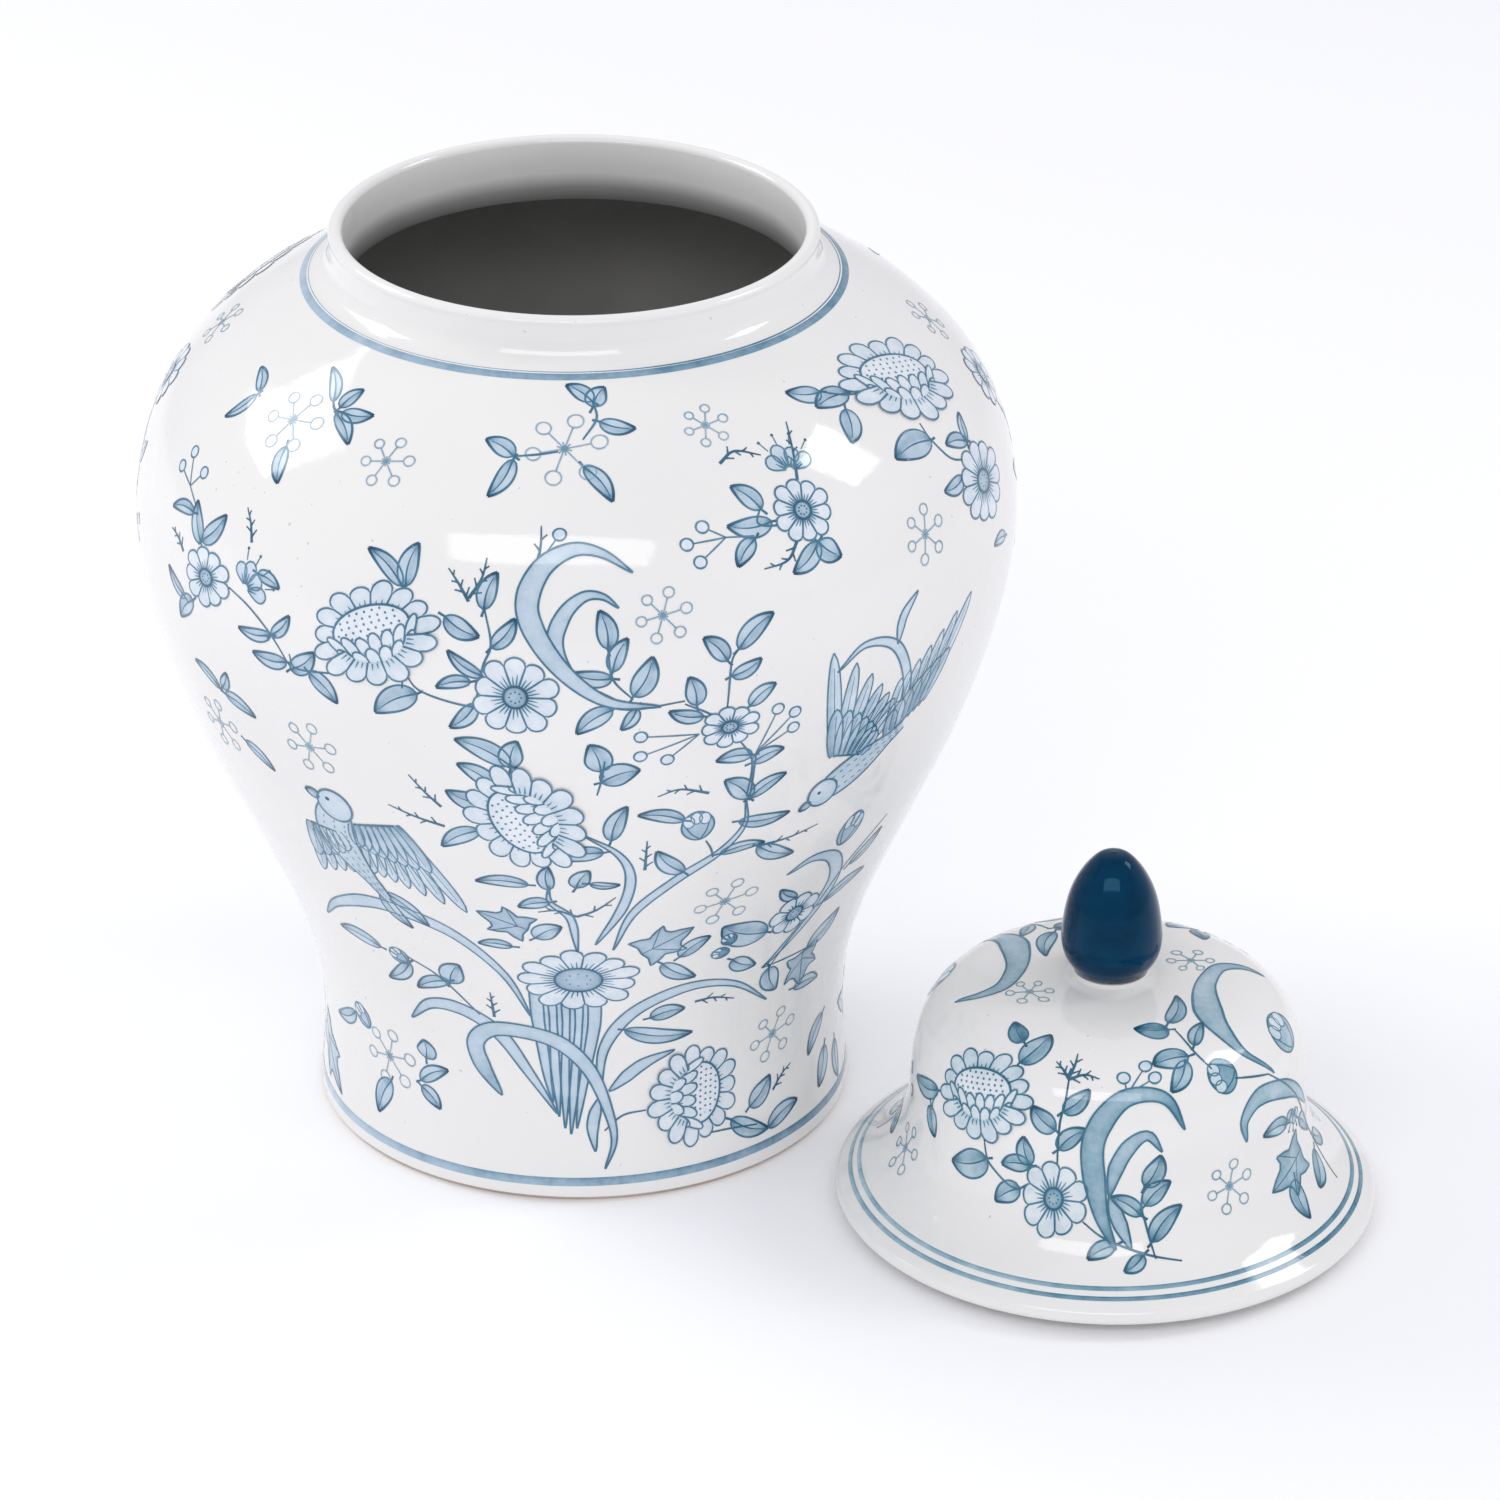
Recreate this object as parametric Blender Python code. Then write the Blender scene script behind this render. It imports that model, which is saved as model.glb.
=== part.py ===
"""A lidded porcelain ginger jar, with its lid lying on the table beside it.

The jar is thrown in sections that are joined leather-hard: a foot ring, a base
disc, a lower body, an upper body and a neck ring.  The lid is a domed shell with
a wide flange, a locating ring under it that drops into the neck, and a knob.

Units are metres and +Z is up.  The origin is on the jar's axis, on the table.
"""
import math

import bmesh
import bpy

# Driving dimensions ---------------------------------------------------------
GAP = 0.0003                # joint between two sections that touch
SEGMENTS = 48               # sides of every turned piece
CURVE_STEPS = 2             # sampled points from one shape point to the next

WALL = 0.006                # thickness of the jar's wall
FOOT_HEIGHT = 0.008
FOOT_RADIUS = 0.0835
FOOT_INNER_RADIUS = 0.075
FOOT_EDGE = 0.0025          # rounding at the foot's bearing edge
BASE_RECESS = 0.0015        # the base disc's underside above the table
BASE_THICKNESS = 0.0062

BELLY_RADIUS = 0.134
BELLY_HEIGHT = 0.196        # the widest place, where the two body halves meet
NECK_BASE_RADIUS = 0.080
NECK_BASE_HEIGHT = 0.275
MOUTH_HEIGHT = 0.290
LIP_OUTER_RADIUS = 0.0736
LIP_INNER_RADIUS = 0.069

LID_PLACE = (0.159, -0.085, 0.0)    # the lid's axis, on the table beside the jar
FLANGE_RADIUS = 0.0828
FLANGE_UNDERSIDE = 0.0035   # the flange's lower edge above the table
FLANGE_EDGE = 0.003         # rounding of the flange's rim
SEAT_HEIGHT = 0.0097        # the flat under the flange that rests on the lip
SEAT_OUTER_RADIUS = 0.0755
DOME_RADIUS = 0.060
DOME_HEIGHT = 0.0775
DOME_FOOT = 0.040           # where the dome's inside turns straight down
LID_WALL = 0.005
LOCATING_RING_RADIUS = 0.0657
LOCATING_RING_WALL = 0.0045
STUB_RADIUS = 0.0112
KNOB_BASE_HEIGHT = 0.080
KNOB_HEIGHT = 0.0392
KNOB_RADIUS = 0.0153

SHARP_ANGLE = math.radians(40)

# Name: base colour, roughness, metallic
FINISHES = {
    "white_glaze": ((0.86, 0.86, 0.85, 1.0), 0.12, 0.0),
    "bare_clay": ((0.72, 0.60, 0.52, 1.0), 0.80, 0.0),
    "navy_glaze": ((0.005, 0.025, 0.085, 1.0), 0.08, 0.0),
}


def clear_scene():
    """Remove every object that the file starts with."""
    for item in list(bpy.data.objects):
        bpy.data.objects.remove(item, do_unlink=True)


def finish(name, node):
    """Give one node its own Principled material."""
    colour, roughness, metallic = FINISHES[name]
    material = bpy.data.materials.new(f"{node}_{name}")
    material.use_nodes = True
    shader = material.node_tree.nodes["Principled BSDF"]
    shader.inputs["Base Color"].default_value = colour
    shader.inputs["Roughness"].default_value = roughness
    shader.inputs["Metallic"].default_value = metallic
    material.diffuse_color = colour
    return material


def smooth_curve(points, steps=CURVE_STEPS):
    """Sample a Catmull-Rom curve that passes through every (radius, height)."""
    first, last = points[0], points[-1]
    before = (2 * first[0] - points[1][0], 2 * first[1] - points[1][1])
    after = (2 * last[0] - points[-2][0], 2 * last[1] - points[-2][1])
    padded = [before, *points, after]
    curve = []
    for index in range(len(points) - 1):
        a, b, c, d = padded[index:index + 4]
        for step in range(steps):
            t = step / steps
            curve.append(tuple(
                0.5 * (2 * q + (r - p) * t + (2 * p - 5 * q + 4 * r - s) * t ** 2
                       + (3 * q - p - 3 * r + s) * t ** 3)
                for p, q, r, s in zip(a, b, c, d)))
    curve.append(last)
    return curve


def offset_curve(curve, distance):
    """Move a curve that runs down an outer side inwards along its normals."""
    moved = []
    for index, (radius, height) in enumerate(curve):
        before = curve[max(index - 1, 0)]
        after = curve[min(index + 1, len(curve) - 1)]
        run, rise = after[0] - before[0], after[1] - before[1]
        length = math.hypot(run, rise)
        moved.append((radius + distance * rise / length, height - distance * run / length))
    return moved


def arc(centre, radius, start, end, steps=3):
    """Points on a circular arc in the (radius, height) plane, angles in degrees."""
    points = []
    for step in range(steps + 1):
        angle = math.radians(start + (end - start) * step / steps)
        points.append((centre[0] + radius * math.cos(angle),
                       centre[1] + radius * math.sin(angle)))
    return points


def turned(name, outline, finish_name, place=(0.0, 0.0, 0.0)):
    """Turn a closed (radius, height) outline about Z into one solid object.

    A point on the axis becomes a single vertex, every other point a ring.
    """
    mesh = bpy.data.meshes.new(name)
    turned_mesh = bmesh.new()
    rings = []
    for radius, height in outline:
        if radius < 1e-6:
            rings.append([turned_mesh.verts.new((0.0, 0.0, height))])
            continue
        ring = []
        for side in range(SEGMENTS):
            angle = 2 * math.pi * side / SEGMENTS
            ring.append(turned_mesh.verts.new(
                (radius * math.cos(angle), radius * math.sin(angle), height)))
        rings.append(ring)
    for upper, lower in zip(rings, rings[1:] + rings[:1]):
        if len(upper) == 1 and len(lower) == 1:
            continue
        for side in range(SEGMENTS):
            following = (side + 1) % SEGMENTS
            corners = [upper[side % len(upper)], lower[side % len(lower)],
                       lower[following % len(lower)], upper[following % len(upper)]]
            turned_mesh.faces.new(dict.fromkeys(corners))
    bmesh.ops.recalc_face_normals(turned_mesh, faces=turned_mesh.faces)
    turned_mesh.to_mesh(mesh)
    turned_mesh.free()
    mesh.materials.append(finish(finish_name, name))
    mesh.shade_smooth()
    mesh.set_sharp_from_angle(angle=SHARP_ANGLE)
    item = bpy.data.objects.new(name, mesh)
    item.location = place
    bpy.context.scene.collection.objects.link(item)
    return item


def shoulder_curve():
    """The upper body's outer side, from the neck down to the belly."""
    return smooth_curve([
        (NECK_BASE_RADIUS, NECK_BASE_HEIGHT), (0.094, 0.2665), (0.1085, 0.256),
        (0.123, 0.240), (0.1315, 0.220), (BELLY_RADIUS, BELLY_HEIGHT)])


def lower_curve():
    """The lower body's outer side, from the belly down to the foot."""
    return smooth_curve([
        (BELLY_RADIUS, BELLY_HEIGHT), (0.1295, 0.168), (0.119, 0.136), (0.1045, 0.104),
        (0.092, 0.076), (0.0845, 0.052), (0.082, 0.030),
        (0.083, FOOT_HEIGHT + GAP)])


def build_foot_ring():
    """The bare ring that the jar stands on, with a rounded bearing edge."""
    outer = FOOT_RADIUS - FOOT_EDGE
    inner = FOOT_INNER_RADIUS + FOOT_EDGE
    outline = arc((outer, FOOT_EDGE), FOOT_EDGE, 0, -90)
    outline += arc((inner, FOOT_EDGE), FOOT_EDGE, -90, -180)
    outline += [(FOOT_INNER_RADIUS, FOOT_HEIGHT), (FOOT_RADIUS, FOOT_HEIGHT)]
    return turned("jar_foot_ring", outline, "bare_clay")


def build_base_disc():
    """The jar's floor, set a little above the table inside the foot ring."""
    radius = FOOT_INNER_RADIUS - GAP
    top = BASE_RECESS + BASE_THICKNESS
    outline = [(0.0, top), (radius, top), (radius, BASE_RECESS), (0.0, BASE_RECESS)]
    return turned("jar_base_disc", outline, "white_glaze")


def build_lower_body():
    outer = lower_curve()
    inner = offset_curve(outer, WALL)
    inner[0] = (BELLY_RADIUS - WALL, BELLY_HEIGHT)
    inner[-1] = (FOOT_INNER_RADIUS, FOOT_HEIGHT + GAP)
    return turned("jar_lower_body", outer + inner[::-1], "white_glaze")


def build_upper_body():
    curve = shoulder_curve()
    outer = curve[:-1] + [(BELLY_RADIUS, BELLY_HEIGHT + GAP)]
    inner = offset_curve(curve, WALL)
    inner[0] = (LIP_INNER_RADIUS, NECK_BASE_HEIGHT)
    inner[1] = (LIP_INNER_RADIUS, NECK_BASE_HEIGHT - WALL)
    inner[-1] = (BELLY_RADIUS - WALL, BELLY_HEIGHT + GAP)
    return turned("jar_upper_body", outer + inner[::-1], "white_glaze")


def build_neck_ring():
    """The short collar that carries the rounded lip."""
    bottom = NECK_BASE_HEIGHT + GAP
    lip = (LIP_OUTER_RADIUS - LIP_INNER_RADIUS) / 2
    middle = (LIP_OUTER_RADIUS + LIP_INNER_RADIUS) / 2
    outline = arc((middle, MOUTH_HEIGHT - lip), lip, 180, 0, steps=4)
    outline += [(LIP_OUTER_RADIUS + 0.0002, bottom + 0.006)]
    outline += [(0.0755, bottom + 0.0022), (0.0785, bottom), (LIP_INNER_RADIUS, bottom)]
    return turned("jar_neck_ring", outline, "white_glaze")


def lid_outer_curve():
    """The lid's upper side, from the stub under the knob to the flange edge."""
    return smooth_curve([
        (0.020, DOME_HEIGHT), (0.035, 0.0768), (0.0475, 0.0730), (0.0560, 0.0645),
        (0.0597, 0.051), (0.0608, 0.037), (0.0640, 0.0255), (0.0700, 0.0172),
        (0.0775, 0.0115)])


def build_lid_shell():
    """The dome with its wide flange and the stub that the knob stands on."""
    outer = lid_outer_curve()
    dome = [point for point in outer if point[0] < DOME_RADIUS and point[1] > DOME_FOOT]
    inner = offset_curve(dome, LID_WALL)
    stub = [(0.0, KNOB_BASE_HEIGHT), (STUB_RADIUS, KNOB_BASE_HEIGHT),
            (STUB_RADIUS, DOME_HEIGHT + 0.0012), (STUB_RADIUS + 0.0023, DOME_HEIGHT + 0.0003)]
    edge_middle = FLANGE_RADIUS - FLANGE_EDGE
    edge = arc((edge_middle, FLANGE_UNDERSIDE + FLANGE_EDGE), FLANGE_EDGE, 60, -60, steps=4)
    underside = [(edge_middle, FLANGE_UNDERSIDE),
                 (SEAT_OUTER_RADIUS + 0.001, FLANGE_UNDERSIDE),
                 (SEAT_OUTER_RADIUS, SEAT_HEIGHT),
                 (inner[-1][0] + 0.001, SEAT_HEIGHT)]
    crown = [(0.0, DOME_HEIGHT - LID_WALL)]
    outline = stub + outer + edge + underside + inner[::-1] + crown
    return turned("lid_shell", outline, "white_glaze", LID_PLACE)


def build_locating_ring():
    """The ring under the lid that drops into the neck and keeps it central."""
    top = SEAT_HEIGHT - GAP
    inner = LOCATING_RING_RADIUS - LOCATING_RING_WALL
    half = LOCATING_RING_WALL / 2
    middle = inner + half
    outline = [(inner, top), (LOCATING_RING_RADIUS, top)]
    outline += arc((middle, half), half, 0, -180, steps=4)
    return turned("lid_locating_ring", outline, "white_glaze", LID_PLACE)


def build_knob():
    """The acorn-shaped knob, luted onto the stub."""
    base = KNOB_BASE_HEIGHT + GAP
    shape = [(0.0, 1.0), (0.33, 0.965), (0.66, 0.81), (0.89, 0.60), (1.0, 0.32),
             (0.95, 0.15), (0.78, 0.04)]
    curve = smooth_curve([(KNOB_RADIUS * r, base + KNOB_HEIGHT * h) for r, h in shape], 2)
    outline = curve + [(KNOB_RADIUS * 0.70, base), (0.0, base)]
    return turned("lid_knob", outline, "navy_glaze", LID_PLACE)


def main():
    clear_scene()
    build_foot_ring()
    build_base_disc()
    build_lower_body()
    build_upper_body()
    build_neck_ring()
    build_lid_shell()
    build_locating_ring()
    build_knob()


main()
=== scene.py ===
"""The look of a lidded ginger jar: glazed porcelain, blue brush painting, studio light.

Every painted mark is thin geometry that follows the jar's or the lid's own curve.
A place on a surface is (angle in degrees, distance along its side in millimetres):
angle 0 faces -Y, positive angles go towards +X, and the distance starts at the bottom.
"""

import math

import bpy
import numpy as np
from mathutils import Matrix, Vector


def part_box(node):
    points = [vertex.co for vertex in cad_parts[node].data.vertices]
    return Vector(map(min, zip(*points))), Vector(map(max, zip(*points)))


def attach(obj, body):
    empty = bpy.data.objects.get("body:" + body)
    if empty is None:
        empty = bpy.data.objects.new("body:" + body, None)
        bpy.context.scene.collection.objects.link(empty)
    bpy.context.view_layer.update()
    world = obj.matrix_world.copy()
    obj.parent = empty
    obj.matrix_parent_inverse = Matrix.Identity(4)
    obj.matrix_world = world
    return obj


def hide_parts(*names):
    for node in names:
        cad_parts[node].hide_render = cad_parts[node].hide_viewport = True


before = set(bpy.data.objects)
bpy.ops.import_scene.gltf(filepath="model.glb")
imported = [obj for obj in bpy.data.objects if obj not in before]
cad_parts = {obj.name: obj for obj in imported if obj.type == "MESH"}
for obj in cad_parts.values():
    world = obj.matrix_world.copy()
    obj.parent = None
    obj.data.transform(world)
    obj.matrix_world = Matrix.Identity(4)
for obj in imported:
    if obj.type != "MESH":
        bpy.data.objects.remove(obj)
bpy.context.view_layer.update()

MM = 0.001
SKIN_INSET = 0.24           # mm: the glazed skin lies this far inside the CAD shape
WASH_LIFT = 0.05            # mm: colour washes above the skin
LINE_LIFT = 0.085           # mm: brush lines above the skin
LIFT_STEP = 0.001           # mm: keeps strokes that cross from sharing one height
LIFT_STEPS = 32             # the strokes' heights repeat after this many
LEVEL_LIFT = 0.09           # mm: flowers lie one level above stems, their hearts two
LINE = 0.36                 # mm: half width of a normal brush line
ROUND = 288                 # sides of a turned piece


# ---------------- camera and stage
CAMERA_PLACE = (0.0, -1.7945, 1.0113)
LOOK_DOWN, LOOK_RIGHT = 26.595, 1.677       # degrees
LENS = 155.0                                # mm, on a 36 mm sensor
FLOOR_HALF = 6.0                            # m
FLOOR_DROP = 0.0003                         # m: keeps the floor off the foot's bearing edge
LIGHTS_AIM = (0, 0, 0.15)
LIGHTS = [("window_left", (-1.45, 0.58, 1.42), (0.9, 0.75), 11),
          ("softbox_front", (-0.25, -1.85, 1.60), (2.0, 0.6), 11),
          ("fill_right", (1.52, 0.10, 1.42), (0.45, 0.6), 5)]


def make_camera():
    data = bpy.data.cameras.new("camera")
    data.sensor_width = 36.0
    data.lens = LENS
    camera = bpy.data.objects.new("camera", data)
    camera.location = CAMERA_PLACE
    camera.rotation_euler = (math.radians(90 - LOOK_DOWN), 0.0, math.radians(-LOOK_RIGHT))
    bpy.context.scene.collection.objects.link(camera)
    bpy.context.scene.camera = camera


def make_lights():
    for name, place, size, power in LIGHTS:
        data = bpy.data.lights.new(name, "AREA")
        data.shape = "RECTANGLE"
        data.size, data.size_y = size
        data.energy = power
        light = bpy.data.objects.new(name, data)
        light.location = place
        direction = np.array(LIGHTS_AIM) - np.array(place)
        light.rotation_euler = Vector(direction).to_track_quat("-Z", "Y").to_euler()
        bpy.context.scene.collection.objects.link(light)


def make_stage():
    """A white sweep that glows a little, under a white sky."""
    mesh = bpy.data.meshes.new("floor")
    half = FLOOR_HALF
    mesh.from_pydata([(-half, -half, 0), (half, -half, 0), (half, half, 0), (-half, half, 0)],
                     [], [(0, 1, 2, 3)])
    floor = bpy.data.objects.new("floor", mesh)
    floor.location.z = -FLOOR_DROP
    bpy.context.scene.collection.objects.link(floor)
    material = bpy.data.materials.new("floor")
    material.use_nodes = True
    shader = material.node_tree.nodes["Principled BSDF"]
    shader.inputs["Base Color"].default_value = (0.94, 0.94, 0.955, 1.0)
    shader.inputs["Emission Color"].default_value = (1.0, 1.0, 1.0, 1.0)
    shader.inputs["Emission Strength"].default_value = 0.06
    shader.inputs["Roughness"].default_value = 0.85
    shader.inputs["Specular IOR Level"].default_value = 0.1
    mesh.materials.append(material)
    world = bpy.data.worlds.new("studio")
    world.use_nodes = True
    background = world.node_tree.nodes["Background"]
    background.inputs["Color"].default_value = (0.95, 0.955, 1.0, 1.0)
    background.inputs["Strength"].default_value = 0.74
    bpy.context.scene.world = world
    bpy.context.scene.view_settings.view_transform = "Standard"


# ---------------- node materials
class Nodes:
    """Short way to build one node material."""

    def __init__(self, name):
        self.material = bpy.data.materials.new(name)
        self.material.use_nodes = True
        self.tree = self.material.node_tree
        self.shader = self.tree.nodes["Principled BSDF"]
        self.place = None

    def set(self, **values):
        for name, value in values.items():
            self.shader.inputs[name.replace("_", " ")].default_value = value

    def node(self, kind, **values):
        made = self.tree.nodes.new(kind)
        for name, value in values.items():
            if hasattr(made, name):
                setattr(made, name, value)
            else:
                made.inputs[name.replace("_", " ")].default_value = value
        return made

    def link(self, source, target):
        self.tree.links.new(source, target)

    def position(self):
        if self.place is None:
            self.place = self.node("ShaderNodeTexCoord").outputs["Object"]
        return self.place

    def noise(self, scale, detail=2.0, roughness=0.5):
        made = self.node("ShaderNodeTexNoise", Scale=scale, Detail=detail, Roughness=roughness)
        self.link(self.position(), made.inputs["Vector"])
        return made.outputs["Fac"]

    def spread(self, source, low, high, to_low=0.0, to_high=1.0):
        made = self.node("ShaderNodeMapRange")
        for name, value in (("From Min", low), ("From Max", high),
                            ("To Min", to_low), ("To Max", to_high)):
            made.inputs[name].default_value = value
        self.link(source, made.inputs["Value"])
        return made.outputs["Result"]

    def math(self, operation, first, second):
        made = self.node("ShaderNodeMath", operation=operation)
        for socket, value in zip(made.inputs, (first, second)):
            if isinstance(value, (int, float)):
                socket.default_value = value
            else:
                self.link(value, socket)
        return made.outputs["Value"]

    def ramp(self, source, *stops):
        made = self.node("ShaderNodeValToRGB")
        elements = made.color_ramp.elements
        while len(elements) < len(stops):
            elements.new(0.5)
        for element, (position, colour) in zip(elements, stops):
            element.position = position
            element.color = (*colour, 1.0)
        self.link(source, made.inputs["Fac"])
        return made.outputs["Color"]

    def bump(self, source, distance, strength=1.0, below=None):
        made = self.node("ShaderNodeBump", Strength=strength, Distance=distance)
        self.link(source, made.inputs["Height"])
        if below is not None:
            self.link(below, made.inputs["Normal"])
        return made.outputs["Normal"]


def glaze_surface(nodes, roughness=(0.05, 0.12)):
    """The glaze's own relief, the same over white ground and paint."""
    slow = nodes.noise(16.0, 1.0)
    peel = nodes.noise(260.0, 2.0)
    relief = nodes.bump(slow, 0.0016)
    relief = nodes.bump(peel, 0.00006, 0.6, relief)
    nodes.link(relief, nodes.shader.inputs["Normal"])
    worn = nodes.noise(70.0, 3.0)
    nodes.link(nodes.spread(worn, 0.3, 0.7, *roughness), nodes.shader.inputs["Roughness"])
    nodes.set(IOR=1.5, Coat_Weight=0.2, Coat_Roughness=0.04)


def white_glaze():
    nodes = Nodes("white_glaze")
    tint = nodes.noise(9.0, 3.0)
    colour = nodes.ramp(tint, (0.30, (0.812, 0.806, 0.792)), (0.70, (0.862, 0.853, 0.835)))
    speck = nodes.noise(620.0, 0.0)
    speck = nodes.spread(speck, 0.865, 0.89, 0.0, 0.55)
    mix = nodes.node("ShaderNodeMix", data_type="RGBA")
    nodes.link(speck, mix.inputs["Factor"])
    nodes.link(colour, mix.inputs[6])
    mix.inputs[7].default_value = (0.42, 0.40, 0.38, 1.0)
    nodes.link(mix.outputs[2], nodes.shader.inputs["Base Color"])
    glaze_surface(nodes)
    return nodes.material


def inside_painted_shade():
    """The inside of the jar, with its shade painted in: pale at the neck, dark grey below it where
    the light does not reach.
    """
    nodes = Nodes("inside_painted_shade")
    cloud = nodes.noise(14.0, 4.0)
    split = nodes.node("ShaderNodeSeparateXYZ")
    nodes.link(nodes.position(), split.inputs["Vector"])
    height = nodes.spread(split.outputs["Z"], 0.266, 0.290)
    height = nodes.math("ADD", height, nodes.spread(cloud, 0.3, 0.7, -0.02, 0.02))
    # painted shade: mid grey deep in the body, darkest just below the neck, paling up the neck to
    # the mouth
    colour = nodes.ramp(height, (0.0, (0.40, 0.395, 0.385)), (0.10, (0.10, 0.098, 0.095)),
                        (0.30, (0.30, 0.296, 0.289)), (0.50, (0.74, 0.73, 0.715)),
                        (1.0, (0.88, 0.87, 0.855)))
    nodes.link(colour, nodes.shader.inputs["Base Color"])
    nodes.link(nodes.spread(nodes.noise(60.0, 3.0), 0.3, 0.7, 0.28, 0.45),
               nodes.shader.inputs["Roughness"])
    nodes.link(nodes.bump(nodes.noise(35.0, 3.0), 0.0006), nodes.shader.inputs["Normal"])
    return nodes.material


def bare_clay():
    nodes = Nodes("bare_clay")
    grain = nodes.noise(900.0, 3.0)
    stain = nodes.noise(25.0, 2.0)
    both = nodes.math("ADD", nodes.math("MULTIPLY", grain, 0.45),
                      nodes.math("MULTIPLY", stain, 0.55))
    colour = nodes.ramp(both, (0.35, (0.50, 0.385, 0.32)), (0.65, (0.72, 0.60, 0.52)))
    nodes.link(colour, nodes.shader.inputs["Base Color"])
    nodes.link(nodes.spread(grain, 0.3, 0.7, 0.65, 0.9), nodes.shader.inputs["Roughness"])
    nodes.link(nodes.bump(grain, 0.00015), nodes.shader.inputs["Normal"])
    return nodes.material


def navy_glaze():
    nodes = Nodes("navy_glaze")
    pool = nodes.noise(75.0, 3.0)
    colour = nodes.ramp(pool, (0.30, (0.0, 0.018, 0.050)), (0.72, (0.0, 0.038, 0.096)))
    nodes.link(colour, nodes.shader.inputs["Base Color"])
    nodes.link(nodes.spread(nodes.noise(120.0, 2.0), 0.3, 0.7, 0.04, 0.10),
               nodes.shader.inputs["Roughness"])
    relief = nodes.bump(nodes.noise(45.0, 1.0), 0.0006)
    nodes.link(relief, nodes.shader.inputs["Normal"])
    nodes.set(IOR=1.35, Specular_Tint=(0.25, 0.62, 0.85, 1.0))
    return nodes.material


def brush_paint(name, stops):
    """Cobalt under the glaze; the piece's tone attribute says how much pigment lies there."""
    nodes = Nodes(name)
    tone = nodes.node("ShaderNodeAttribute", attribute_name="tone").outputs["Fac"]
    grain = nodes.noise(520.0, 3.0, 0.6)
    cloud = nodes.noise(110.0, 2.0)
    tone = nodes.math("ADD", tone, nodes.spread(grain, 0.2, 0.8, -0.07, 0.07))
    tone = nodes.math("ADD", tone, nodes.spread(cloud, 0.25, 0.75, -0.10, 0.10))
    nodes.link(nodes.ramp(tone, *stops), nodes.shader.inputs["Base Color"])
    glaze_surface(nodes)
    return nodes.material


# ---------------- turned surfaces
def smooth_curve(points, steps):
    """A Catmull-Rom curve through the points, any number of columns."""
    points = np.asarray(points, float)
    padded = np.vstack([2 * points[0] - points[1], points, 2 * points[-1] - points[-2]])
    t = (np.arange(steps) / steps)[:, None]
    parts = []
    for a, b, c, d in zip(padded, padded[1:], padded[2:], padded[3:]):
        parts.append(0.5 * (2 * b + (c - a) * t + (2 * a - 5 * b + 4 * c - d) * t ** 2
                            + (3 * b - a - 3 * c + d) * t ** 3))
    return np.vstack([*parts, points[-1:]])


def arc(centre, radius, start, end, steps=8):
    angles = np.radians(np.linspace(start, end, steps + 1))
    return np.column_stack([centre[0] + radius * np.cos(angles),
                            centre[1] + radius * np.sin(angles)])


class Surface:
    """The outside of a turned piece, bottom to top, in millimetres about its own axis."""

    def __init__(self, curve, axis):
        self.curve = np.asarray(curve, float)
        self.axis = axis
        step = np.diff(self.curve, axis=0)
        self.along = np.concatenate([[0.0], np.cumsum(np.hypot(*step.T))])
        slope = np.gradient(self.curve, self.along, axis=0)
        slope /= np.hypot(*slope.T)[:, None]
        self.normal = np.column_stack([slope[:, 1], -slope[:, 0]])

    def radius(self, s):
        return np.maximum(np.interp(s, self.along, self.curve[:, 0]), 2.0)

    def offset(self, depth):
        """The curve moved inwards by depth millimetres."""
        return self.curve - depth * self.normal

    def points(self, theta, s, lift):
        """Positions and normals in metres, for arrays of degrees and millimetres."""
        r = np.interp(s, self.along, self.curve[:, 0])
        z = np.interp(s, self.along, self.curve[:, 1])
        nr = np.interp(s, self.along, self.normal[:, 0])
        nz = np.interp(s, self.along, self.normal[:, 1])
        length = np.hypot(nr, nz)
        nr, nz = nr / length, nz / length
        r = r + nr * (lift - SKIN_INSET)
        z = z + nz * (lift - SKIN_INSET)
        sin, cos = np.sin(np.radians(theta)), np.cos(np.radians(theta))
        place = np.stack([self.axis[0] + MM * r * sin, self.axis[1] - MM * r * cos, MM * z], -1)
        return place, np.stack([nr * sin, -nr * cos, nz], -1)


def turned_piece(name, outline, axis, materials, body, nodes, picks=None, wobble=None):
    """Turn a closed (radius, height) outline in mm into a piece that replaces CAD nodes.

    picks has the material's number for the stretch that starts at each outline point.
    wobble(angle, height) moves a point up, in mm."""
    outline = np.asarray(outline, float)
    angles = np.linspace(0, 2 * math.pi, ROUND, endpoint=False)
    vertices, rings = [], []
    for radius, height in outline:
        if radius < 1e-6:
            rings.append([len(vertices)])
            vertices.append((axis[0], axis[1], MM * height))
            continue
        rings.append(range(len(vertices), len(vertices) + ROUND))
        for angle in angles:
            lift = wobble(angle, height) if wobble else 0.0
            vertices.append((axis[0] + MM * radius * math.sin(angle),
                             axis[1] - MM * radius * math.cos(angle), MM * (height + lift)))
    faces, picked = [], []
    closed = zip(range(len(rings)), [*range(1, len(rings)), 0])
    for one, two in closed:
        first, second = rings[one], rings[two]
        if len(first) == 1 and len(second) == 1:
            continue
        choice = int(picks[one]) if picks is not None else 0
        for side in range(ROUND):
            following = (side + 1) % ROUND
            corners = [first[side % len(first)], first[following % len(first)],
                       second[following % len(second)], second[side % len(second)]]
            faces.append(tuple(dict.fromkeys(corners)))
            picked.append(choice)
    mesh = bpy.data.meshes.new(name)
    mesh.from_pydata(vertices, [], faces)
    for material in materials:
        mesh.materials.append(material)
    mesh.polygons.foreach_set("material_index", picked)
    mesh.shade_smooth()
    mesh.set_sharp_from_angle(angle=math.radians(50))
    piece = bpy.data.objects.new(name, mesh)
    bpy.context.scene.collection.objects.link(piece)
    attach(piece, body)
    if nodes:
        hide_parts(*nodes)
    return piece


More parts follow.
